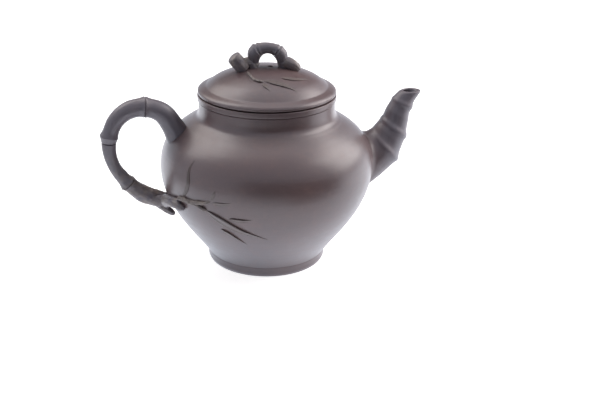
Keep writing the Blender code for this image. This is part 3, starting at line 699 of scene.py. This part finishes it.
def bamboo_tree():
    """Nodes that sweep a line into a stem, with ridges and cuts at its joints and a fibrous skin."""
    tree, given = new_tree("bamboo_stem", (*ridge_places, *cut_places, *stem_sizes))

    def named(name, kind="FLOAT"):
        return Socket.add(tree, "GeometryNodeInputNamedAttribute", {"data_type": kind}, {"Name": name})

    line = Socket.add(tree, "GeometryNodeMeshToCurve", {}, {"Mesh": given.also("Geometry")})
    place = Socket.add(tree, "GeometryNodeInputPosition")
    centre = {"Geometry": line, "Name": "centre", "Value": place}
    centred = Socket.add(tree, "GeometryNodeStoreNamedAttribute", {"data_type": "FLOAT_VECTOR"}, centre)
    profile = {"Resolution": stem_facets, "Radius": 1.0}
    circle = Socket.add(tree, "GeometryNodeCurvePrimitiveCircle", {}, profile, "Curve")
    sweep = {"Curve": centred, "Profile Curve": circle, "Scale": named("girth"), "Fill Caps": True}
    swept = Socket.add(tree, "GeometryNodeCurveToMesh", {}, sweep)
    outward = place.vector("SUBTRACT", {1: named("centre", "FLOAT_VECTOR")}).vector("NORMALIZE")
    outer_side = outward.vector("DOT_PRODUCT", {1: named("outside", "FLOAT_VECTOR")}, output=1)
    along, age = named("along"), named("age")

    def near(places):
        nearest = abs(along - given.also(places[0]))
        for other in places[1:]:
            nearest = nearest.least(abs(along - given.also(other)))
        return nearest

    def skin(scale, stretch, detail):
        inputs = {"Vector": outward, "W": along * stretch, "Scale": scale, "Detail": detail}
        return Socket.add(tree, "ShaderNodeTexNoise", {"noise_dimensions": "4D"}, inputs)

    ridge = given.also("Ridge Height") * (1 - near(ridge_places) / given.also("Ridge Width")).most(0) ** 2.0
    ridge = ridge * (1 + outer_side * ridge_lean_share)
    cut = given.also("Cut Depth") * (1 - near(cut_places) / given.also("Cut Width")).most(0)
    fibre = given.also("Fibre") * (skin(3.6, 55.0, 1.0) - 0.5) * (0.4 + age)
    gnarl = given.also("Gnarl") * (skin(1.3, 160.0, 2.0) - 0.45) * age
    moved = outward.vector("SCALE", {"Scale": ridge - cut + fibre + gnarl})
    skinned = Socket.add(tree, "GeometryNodeSetPosition", {}, {"Geometry": swept, "Offset": moved})
    return end_tree(tree, given, skinned)


bamboo_stem = bamboo_tree()


def stem(name, rows, ridges, cuts, sizes):
    """A bamboo stem through rows of x, y, z, radius and age, with these ridges and cuts on it."""
    rows = flowing(rows, stem_steps, 3)
    along = arc_lengths(rows[:, :3])
    ridges, cuts = ([along[row * stem_steps] + shift for row, shift in places] for places in (ridges, cuts))
    fine = [cut + sizes[3] * share for cut in cuts for share in (-1, -0.5, 0, 0.5, 1)]
    stations = np.sort(np.append(np.linspace(0, along[-1], round(along[-1] / stem_spacing)), fine))
    *place, girth, age = [np.interp(stations, along, column) for column in rows.T]
    points = np.stack(place, axis=1)
    mesh = bpy.data.meshes.new(name)
    mesh.from_pydata(points, [(i, i + 1) for i in range(len(stations) - 1)], [])
    outside = unit(points - points.mean(axis=0))
    for attribute, values in (("girth", girth), ("age", age), ("along", stations), ("outside", outside)):
        store(mesh, attribute, values)
    values = dict(zip(ridge_places, ridges + [nowhere] * len(ridge_places)))
    values.update(zip(cut_places, cuts + [nowhere] * len(cut_places)))
    return grown(bamboo_stem, mesh, "stem_clay", {**values, **dict(zip(stem_sizes, sizes))})


def pressed_on(mesh, seat, depth_under, deepest):
    """The mesh with what lies too deep under the surface drawn up to that depth."""
    points = np.array([vertex.co for vertex in mesh.vertices])
    deep = depth_under(points) > deepest
    points[deep] = seat(points[deep], -deepest)
    mesh.vertices.foreach_set("co", points.ravel())
    return closed(mesh)


out, up, girth, age = np.array(handle_section).T
handle_x = -belly_radius - (handle_reach - belly_radius) * out
handle_z = handle_low + (handle_high - handle_low) * up
handle_rows = np.stack([handle_x, 0 * out, handle_z, handle_radius * girth, age], axis=1)
handle_mesh = stem("handle_stem", handle_rows, handle_ridges, handle_cuts, handle_skin)
settle(pressed_on(handle_mesh, over_wall, under_wall, pot_wall / 2), "handle", slot="stem_clay")

# The root grips the wall at the handle's lower end and forks into three rootlets. They are rolled
# out from the handle's own clay, grooved with a needle and smoothed together with slip.
root_radius = 0.0044
# Rows: section of the handle, how far in front of it, and shares of its height and its radius
root_main_starts = ((-4, 0.0010, 1, 0.66), (-3, 0.0026, 0.995, 0.76))
root_low_starts = ((-4, 0, 0.965, 0.42),)
# Rows: degrees round the pot, then shares of the handle's low height, of the root's radius for how
# far it stands off the wall, and of the root's radius for the thickness
root_main_shares = (
    (-175.5, 1.020, 0.42, 0.76), (-170, 1.070, 0.42, 0.76), (-165, 1.13, 0.40, 0.69),
    (-159, 1.165, 0.38, 0.61), (-154, 1.165, 0.34, 0.50), (-151, 1.145, 0.26, 0.38),
    (-150, 1.14, 0.20, 0.20),
)
root_low_shares = (
    (-178, 0.985, 1.30, 0.52), (-173, 0.956, 0.96, 0.46), (-168, 0.935, 0.64, 0.38),
    (-165.8, 0.928, 0.56, 0.24),
)
root_high_shares = (
    (-174, 1.08, 0.60, 0.45), (-169, 1.13, 0.45, 0.54), (-163, 1.16, 0.34, 0.48),
    (-157.5, 1.21, 0.30, 0.40), (-153, 1.235, 0.22, 0.28),
)
strand_skin = (0, 1, 0, 1, 0.00055, 0.0005)
skin_voxel = 0.00022
slip_strength, slip_rounds = 0.5, 3


def around(rows, size, height):
    """Points this far from the axis, at rows of degrees round it and shares of the height."""
    turns = [(math.radians(turn), up) for turn, up in rows]
    return [(size * math.cos(turn), size * math.sin(turn), height * up) for turn, up in turns]


def strand(rows):
    """A strand of root through rows of x, y, z and radius, grooved along its length."""
    return stem("strand", [(*row, 1) for row in rows], (), (), strand_skin)


def joined(name, strands):
    """Strands that cross, made one skin, with the corners between them filled as with slip."""
    shape = bmesh.new()
    for part in strands:
        shape.from_mesh(part)
    crossing = bpy.data.meshes.new("crossing")
    shape.to_mesh(crossing)
    shape.free()
    holder = placed("holder", crossing)
    skin = holder.modifiers.new("skin", "REMESH")
    skin.mode, skin.voxel_size = "VOXEL", skin_voxel
    slip = holder.modifiers.new("slip", "SMOOTH")
    slip.factor, slip.iterations = slip_strength, slip_rounds
    made = plain(holder)
    made.name = name
    store(made, "age", np.ones(len(made.vertices)))
    return made


def rootlet(starts, shares):
    """A strand from these starts in the handle, then along the wall."""
    rows = [handle_rows[i, :4] * (1, 1, up, girth) - (0, ahead, 0, 0) for i, ahead, up, girth in starts]
    for turn, up, proud, girth in shares:
        place = over_wall(around([(turn, up)], belly_radius, handle_low), root_radius * proud)[0]
        rows.append((*place, root_radius * girth))
    return strand(rows)


rootlets = [
    rootlet(root_main_starts, root_main_shares),
    rootlet(root_low_starts, root_low_shares),
    rootlet((), root_high_shares),
]
root_mesh = pressed_on(joined("root", rootlets), over_wall, under_wall, pot_wall / 3)
settle(root_mesh, "handle_root", slot="stem_clay")

# The sprig on the pot: two thin twigs rolled out from the root, and leaves pressed on as slivers
# of clay. Each leaf has one edge cut steep with a bamboo knife and the other wiped flat.
twig_skin_shares = (0.30, 1.1, 0, 1, 0.45, 0.8)
twig_proud_share = 0.45
twig_taper_share = 0.35
twig_fading_share = 0.3
# Piece, node, radius, and rows of degrees round the pot and shares of the belly's height
pot_twigs = (
    ("low_twig", "twig_low", 0.00120, (
        (-153.0, 0.893), (-148.4, 0.903), (-144.0, 0.903), (-138.6, 0.893), (-134.9, 0.868), (-133.4, 0.850)
    )),
    ("high_twig", "twig_high", 0.00108, (
        (-152.5, 0.893), (-145.0, 0.905), (-138.8, 0.922), (-133.7, 0.942), (-130.2, 0.975)
    )),
)
# Piece, node, width, relief, and rows of degrees round the pot and shares of the belly's height
pot_leaves = (
    ("long_leaf", "leaf_long", 0.0050, 0.0011, ((-133.8, 0.853), (-119.5, 0.706), (-100.1, 0.571))),
    ("low_leaf", "leaf_low", 0.0032, 0.0009, ((-127.4, 0.664), (-121.5, 0.593), (-113.2, 0.488))),
    ("side_leaf", "leaf_side", 0.0026, 0.0008, ((-121.2, 0.809), (-114.5, 0.801), (-108.5, 0.826))),
    ("high_leaf", "leaf_high", 0.0023, 0.0005, ((-129.7, 0.950), (-124.0, 0.955), (-118.3, 0.990))),
    ("bud_leaf", "leaf_bud", 0.0016, 0.0007, ((-130.2, 0.978), (-128.6, 1.045), (-127.8, 1.086))),
    ("spike_leaf", "leaf_spike", 0.0021, 0.0009, (
        (-149.6, 0.915), (-147.0, 0.985), (-145.2, 1.070), (-145.6, 1.240), (-144.2, 1.305)
    )),
)
leaf_colour = (0.148, 0.114, 0.108)
# Rows across a leaf, from the flat edge to the steep one: share of the half width and of the relief
leaf_section = (
    (-1, 0.0), (-0.93, 0.30), (-0.60, 0.44), (-0.42, 0.34), (-0.26, 0.54), (0.10, 0.62), (0.62, 0.98),
    (0.84, 1.0), (1.0, 0.05),
)
leaf_steps = 30
leaf_base_share = 0.12
leaf_tip_share = 0.02
leaf_swell_power = 0.7
leaf_steepness = 1.3
leaf_sink = 0.0002
clays["leaf_clay"] = clay("pressed_leaf", leaf_colour, burnish=0.15)


def twig(name, route, seat, radius):
    """A thin round twig half sunk in the surface, old at its root, its end sunk in."""
    last = len(route) - 1
    middles = seat(np.array(route), [radius * twig_proud_share] * last + [-radius])
    row = np.arange(last + 1)
    girths, ages = radius * (1 - twig_taper_share * row / last), 1 - twig_fading_share * row / last
    skin = (radius * np.array(twig_skin_shares)).tolist()
    return stem(name, np.column_stack([middles, girths, ages]), ((1, 0), (2, 0)), (), skin)


def leaf(name, route, seat, width, relief, steep=1):
    """A pressed leaf along the route: widest near its base, pointed, with one steep edge."""
    path = seat(flowing(route, leaf_steps, 3), 0)
    headings = np.gradient(path, axis=0)
    normals = seat(path, 0.001) - path
    sides = np.cross(normals, headings)
    sides *= steep / np.linalg.norm(sides, axis=1)[:, None]
    section = flowing(leaf_section, 4, 2)
    shares = np.linspace(0, 1, len(path))
    swells = leaf_base_share + (1 - leaf_base_share) * np.sin(math.pi * shares**leaf_swell_power)
    swells *= 1 - shares**3 / 2
    swells[-1] = leaf_tip_share
    rings = []
    for middle, side, swell in zip(path, sides, swells):
        flat = middle + side * section[:, :1] * swell * width / 2
        top = seat(flat, section[:, 1:] * relief * min(1, swell * leaf_steepness) - leaf_sink / 4)
        rings.append(np.vstack([top, seat(flat[::-1], -leaf_sink)]))
    return lofted(name, rings, capped=True)


for name, node, radius, shares in pot_twigs:
    route = around(shares, belly_radius, belly_height)
    settle(twig(name, route, over_wall, radius), node, slot="leaf_clay")
for name, node, width, relief, shares in pot_leaves:
    route = around(shares, belly_radius, belly_height)
    settle(leaf(name, route, over_wall, width, relief), node, slot="leaf_clay")

# The lid is a thrown disc with a low dome and a rolled brim, bored for steam. A band under its
# edge lies on the mouth, and the ring under that keeps it in the neck.
dome_low, dome_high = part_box("lid_dome")
flange_low, flange_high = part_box("lid_flange")
band_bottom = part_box("lid_rim")[0].z
lid_radius = dome_high.y
lid_wall = 0.0030
brim_height = 0.0003
dome_radius = 0.0299
dome_edge_rise = 0.0054
edge_rounding = 0.0030
cove_reach_share = 0.24
cove_drop_share = 0.72
roll_reach_share = 0.87
roll_rise_share = 0.38
band_rounding = 0.0004
shadow_rise = 0.0006
shadow_depth = 0.0011
flange_thickness = 0.0026
flange_taper = flange_thickness / 4
flange_rounding = 0.0006
seat_inner_radius = flange_high.y - flange_thickness
band_inner_radius = seat_inner_radius + flange_thickness / 2
least_radius = 1e-6
steam_hole_radius = 0.0015
steam_hole_offset = 0.0016
knob_turn = math.radians(-11)


def lid_outline():
    """Upper face of the lid as (radius, height) points, from the middle out to the edge."""
    sag = dome_high.z - dome_low.z - dome_edge_rise
    sphere = (dome_radius**2 + sag**2) / (2 * sag)
    radii = np.linspace(0, dome_radius, 50)
    dome = np.stack([radii, dome_high.z - sphere + np.sqrt(sphere**2 - radii**2)], axis=1)
    reach, drop = lid_radius - dome_radius, dome_edge_rise - brim_height
    edge = np.array([dome_radius, dome_low.z + dome_edge_rise])
    cove = edge + (reach * cove_reach_share, -drop * cove_drop_share)
    roll = (dome_radius + reach * roll_reach_share, dome_low.z + brim_height + drop * roll_rise_share)
    brim = bezier((edge, cove, roll, (lid_radius, dome_low.z + brim_height)), steps=40)
    dome = dome[dome[:, 0] < dome_radius - edge_rounding]
    brim = brim[brim[:, 0] > dome_radius + edge_rounding]
    return np.vstack([dome[:-1], bezier((dome[-1], edge, brim[0]), steps=12), brim[1:]])


lid_points = lid_outline()
lid_slopes = np.gradient(lid_points[:, 1], lid_points[:, 0])


def over_lid(points, proud):
    """The points brought straight onto the lid, then moved straight out from it."""
    points = np.atleast_2d(points)
    reach = np.hypot(points[:, 0], points[:, 1])
    radii = np.clip(reach, least_radius, lid_radius)
    heights = np.interp(radii, lid_points[:, 0], lid_points[:, 1])
    slopes = np.interp(radii, lid_points[:, 0], lid_slopes)
    out = points[:, :2] / reach[:, None]
    normals = np.column_stack([-out * slopes[:, None], np.ones(len(points))])
    normals /= np.sqrt(1 + slopes**2)[:, None]
    return np.column_stack([out * radii[:, None], heights]) + normals * np.reshape(proud, (-1, 1))


def under_lid(points):
    """How deep each point lies under the lid's upper face."""
    radii = np.hypot(points[:, 0], points[:, 1])
    return np.interp(radii, lid_points[:, 0], lid_points[:, 1]) - points[:, 2]


lid_hollow = offset(lid_points[::-1], -lid_wall)[::-1]
lid_hollow[0, 0] = 0
lid_hollow = lid_hollow[(lid_hollow[:, 0] < seat_inner_radius) & (lid_hollow[:, 1] > dome_low.z)]
disc_outline = [
    *lid_points,
    (lid_radius - brim_height / 3, dome_low.z),
    (seat_inner_radius, dome_low.z),
    *lid_hollow[::-1],
]
steam_hole_place = (*step(steam_hole_offset, knob_turn), dome_high.z)
disc_mesh = bored(turned("lid_disc", disc_outline), steam_hole_radius, steam_hole_place, Vector((0, 0, 1)))
settle(disc_mesh, "lid_dome", "lid")

band_corners = [
    (lid_radius, dome_low.z + brim_height / 2),
    (lid_radius, band_bottom + shadow_rise),
    (lid_radius - shadow_depth, band_bottom),
    (band_inner_radius, band_bottom),
    (band_inner_radius, dome_low.z + brim_height / 2),
]
settle(turned("lid_band", rounded(band_corners, band_rounding)), "lid_rim", "lid")

flange_corners = [
    (flange_high.y, dome_low.z + brim_height / 2),
    (flange_high.y, flange_low.z + 2 * flange_taper),
    (flange_high.y - flange_taper, flange_low.z),
    (seat_inner_radius, flange_low.z),
    (seat_inner_radius, dome_low.z + brim_height / 2),
]
flange_mesh = turned("lid_locating_ring", rounded(flange_corners, flange_rounding))
settle(flange_mesh, "lid_flange", "lid")

# The knob is a bamboo arch with two rings at each bend, a cut stump at its left foot and a spur
# of root at its right. It is modelled in one go and luted on over the steam hole.
knob_half_span = 0.0080
knob_rise = 0.0098
knob_radius = 0.0029
knob_age = 0.25
# Rows: shares of the half span, of the rise over the dome's top, and of the radius
knob_section = (
    (-0.96, -0.21, 0.83), (-0.91, 0.21, 0.96), (-0.76, 0.79, 1.38), (-0.40, 0.96, 1.15), (0.0, 1.01, 1.02),
    (0.51, 0.92, 1.06), (0.87, 0.69, 1.24), (1.02, 0.21, 0.95), (1.03, -0.21, 0.82),
)
knob_ridges = ((2, 0.0009), (2, 0.0025), (6, -0.0031), (6, -0.0015))
knob_cuts = ((2, 0.0017), (6, -0.0023))
knob_skin = (0.00032, 0.0010, 0.00025, 0.0005, 0.00024, 0.0003)
# Rows: shares of the half span along and across the arch, of the rise, and of the radius
stump_shares = (
    (-1.58, -0.26, -0.14, 1.20), (-1.73, -0.32, 0.05, 1.30), (-1.93, -0.39, 0.27, 1.34),
    (-2.13, -0.46, 0.49, 1.30), (-2.22, -0.49, 0.59, 1.21), (-2.26, -0.50, 0.63, 1.02),
)
collar_shares = (
    (-0.80, 0, -0.10, 1.15), (-1.15, -0.04, 0.18, 1.06), (-1.45, -0.16, 0.22, 0.92),
    (-1.75, -0.30, 0.14, 0.90),
)
spur_shares = (
    (0.95, 0, 0.18, 0.95), (1.22, -0.01, 0.22, 1.06), (1.50, -0.03, 0.15, 1.12), (1.78, -0.05, 0.02, 1.04),
    (1.98, -0.07, -0.12, 0.86), (2.08, -0.08, -0.24, 0.55),
)


def knob_point(along, across, up):
    """The point these shares of the knob's size from the middle of the dome's top."""
    flat = Matrix.Rotation(knob_turn, 3, "Z") @ Vector((knob_half_span * along, knob_half_span * across, 0))
    return flat + Vector((0, 0, dome_high.z + knob_rise * up))


def branch(shares):
    """A strand of root by the knob's foot."""
    return strand([(*knob_point(*place), knob_radius * girth) for *place, girth in shares])


knob_rows = [
    (*knob_point(along, 0, up), knob_radius * girth, knob_age) for along, up, girth in knob_section
]
knob_mesh = stem("knob_arch", knob_rows, knob_ridges, knob_cuts, knob_skin)
settle(pressed_on(knob_mesh, over_lid, under_lid, lid_wall / 2), "knob_bridge", "lid", "stem_clay")
for name, strands, node in (
    ("stump", (stump_shares, collar_shares), "knob_stump"),
    ("spur", (spur_shares,), "knob_spur"),
):
    branches = joined(name, [branch(shares) for shares in strands])
    settle(pressed_on(branches, over_lid, under_lid, lid_wall / 3), node, "lid", "stem_clay")

# The sprig on the lid: one twig from the stump and three leaves, their steep edges towards the
# lid's rim.
lid_twig_radius = 0.00075
# Rows of degrees round the lid and shares of the dome's radius, here and for the leaves
lid_twig_shares = ((-147, 0.47), (-134, 0.54), (-121, 0.63), (-110.5, 0.665), (-105.0, 0.632))
# Piece, node, width, relief and rows
lid_leaves = (
    ("lid_long_leaf", "lid_leaf_long", 0.0042, 0.0006, ((-106, 0.620), (-80.5, 0.755), (-66.8, 0.985))),
    ("lid_side_leaf", "lid_leaf_side", 0.0032, 0.0005, ((-75.5, 0.560), (-56.5, 0.660), (-31.0, 0.820))),
    ("lid_bud_leaf", "lid_leaf_bud", 0.0028, 0.0005, ((-107, 0.700), (-102, 0.790), (-96.8, 0.920))),
)


def across_lid(rows):
    """Points over the lid, at the height of its top."""
    return [around([(turn, 1)], dome_radius * share, dome_high.z)[0] for turn, share in rows]


lid_twig_mesh = twig("lid_sprig_twig", across_lid(lid_twig_shares), over_lid, lid_twig_radius)
settle(lid_twig_mesh, "lid_twig", "lid", "leaf_clay")
for name, node, width, relief, shares in lid_leaves:
    settle(leaf(name, across_lid(shares), over_lid, width, relief, steep=-1), node, "lid", "leaf_clay")

# The studio: a white table in a white surround, two soft boxes high behind the handle and beside
# the spout, and a large soft light overhead. Dark and grey cards, which the eye passes through,
# stand and lie round the pot and give its sheen a darker room to mirror.
half_table = 1.5
table_colour = (0.84, 0.85, 0.86, 1)
glow_seen = 0.84
glow_mirrored = 1.40
glow_level = 0.25
surround_level = 0.10
white = (1, 1, 1, 1)
daylight_colour = (0.80, 0.88, 1.0, 1)
black, grey = (0.03, 0.028, 0.028, 1), (0.20, 0.20, 0.22, 1)
tall_card = ((-0.45, -0.62, 0), (0.55, -0.30, 0), (0.55, -0.30, 0.10), (-0.45, -0.62, 0.26))
low_card = ((0.02, -0.180, 0), (0.21, -0.110, 0), (0.21, -0.110, 0.085), (0.02, -0.180, 0.085))
front_card = ((-0.60, -0.60, 0.001), (0.30, -0.60, 0.001), (0.30, -0.22, 0.001), (-0.60, -0.22, 0.001))
side_card = ((-0.60, -0.22, 0.001), (-0.25, -0.22, 0.001), (-0.25, 0.20, 0.001), (-0.60, 0.20, 0.001))
back_card = ((-0.95, 0.85, 0.34), (0.75, 0.85, 0.34), (0.75, 0.85, 1.25), (-0.95, 0.85, 1.25))
lamp_colour = (1.0, 0.94, 0.91)
camera_place = Vector((-0.1001, -0.49756, 0.24671))
camera_aim = Vector((0.0223, -0.0067, 0.0308))
camera_roll = math.radians(1.25)
camera_lens, film_width = 57.09, 36


def seen_and_mirrored(tree):
    """One where the eye looks straight at the surface, and one where a gloss or a clear body shows it."""
    seen = Socket.add(tree, "ShaderNodeLightPath", output="Is Camera Ray")
    return seen, seen.also("Is Glossy Ray") + seen.also("Is Transmission Ray")


def stage_sheet(name, corners):
    """A flat sheet through these corners, and the tree of its empty material."""
    mesh = bpy.data.meshes.new(name)
    mesh.from_pydata(corners, [], [(0, 1, 2, 3)])
    material = bpy.data.materials.new(name)
    material.use_nodes = True
    tree = material.node_tree
    tree.nodes.remove(tree.nodes["Principled BSDF"])
    mesh.materials.append(material)
    sheet = placed(name, mesh)
    return sheet, tree


def soft_box(name, towards, distance, size, power):
    """A square soft light that far away in this direction, facing the pot."""
    lamp = bpy.data.lights.new(name, "AREA")
    lamp.size, lamp.energy, lamp.color = size, power, lamp_colour
    holder = placed(name, lamp)
    direction = Vector(towards).normalized()
    holder.location = direction * distance + Vector((0, 0, belly_height))
    holder.rotation_euler = direction.to_track_quat("Z", "Y").to_euler()


table_corners = [(x * half_table, y * half_table, 0) for x, y in ((-1, -1), (1, -1), (1, 1), (-1, 1))]
table, table_tree = stage_sheet("table", table_corners)
seen, mirrored = seen_and_mirrored(table_tree)
glow = glow_level + seen * (glow_seen - glow_level)
glow = glow + mirrored.least(1) * (glow_mirrored - glow_level)
lift = {"Color": seen.blend(daylight_colour, white), "Strength": glow}
matt = Socket.add(table_tree, "ShaderNodeBsdfDiffuse", {}, {"Color": table_colour})
lit = Socket.add(table_tree, "ShaderNodeEmission", {}, lift)
both = Socket.add(table_tree, "ShaderNodeAddShader", {}, {0: matt, 1: lit})
both.into(table_tree.nodes["Material Output"], "Surface")

for name, corners, shade, stands in (
    ("tall_card", tall_card, black, True),
    ("low_card", low_card, black, True),
    ("front_card", front_card, black, False),
    ("side_card", side_card, grey, False),
    ("back_card", back_card, black, True),
):
    card, card_tree = stage_sheet(name, corners)
    matt = Socket.add(card_tree, "ShaderNodeBsdfDiffuse", {}, {"Color": shade})
    matt.into(card_tree.nodes["Material Output"], "Surface")
    card.visible_camera = card.visible_shadow = False
    card.visible_diffuse = stands

surround = bpy.data.worlds.new("surround")
bpy.context.scene.world = surround
surround.use_nodes = True
background = surround.node_tree.nodes["Background"]
seen, mirrored = seen_and_mirrored(surround.node_tree)
(surround_level + (seen + mirrored).least(1) * (1 - surround_level)).into(background, "Strength")
seen.blend(daylight_colour, white).into(background, "Color")

soft_box("soft_box_left", (-0.50, 0.44, 0.72), 0.9, 0.65, 4.0)
soft_box("soft_box_right", (0.84, 0.06, 0.52), 0.9, 0.75, 7.5)
soft_box("soft_box_top", (0, 0.25, 1), 1.3, 1.2, 3.0)

eye = bpy.data.cameras.new("camera")
eye.lens, eye.sensor_width = camera_lens, film_width
camera = placed("camera", eye)
looking = (camera_aim - camera_place).to_track_quat("-Z", "Y").to_matrix().to_4x4()
camera.matrix_world = Matrix.Translation(camera_place) @ looking @ Matrix.Rotation(camera_roll, 4, "Z")
bpy.context.scene.camera = camera
bpy.context.scene.view_settings.view_transform = "Standard"
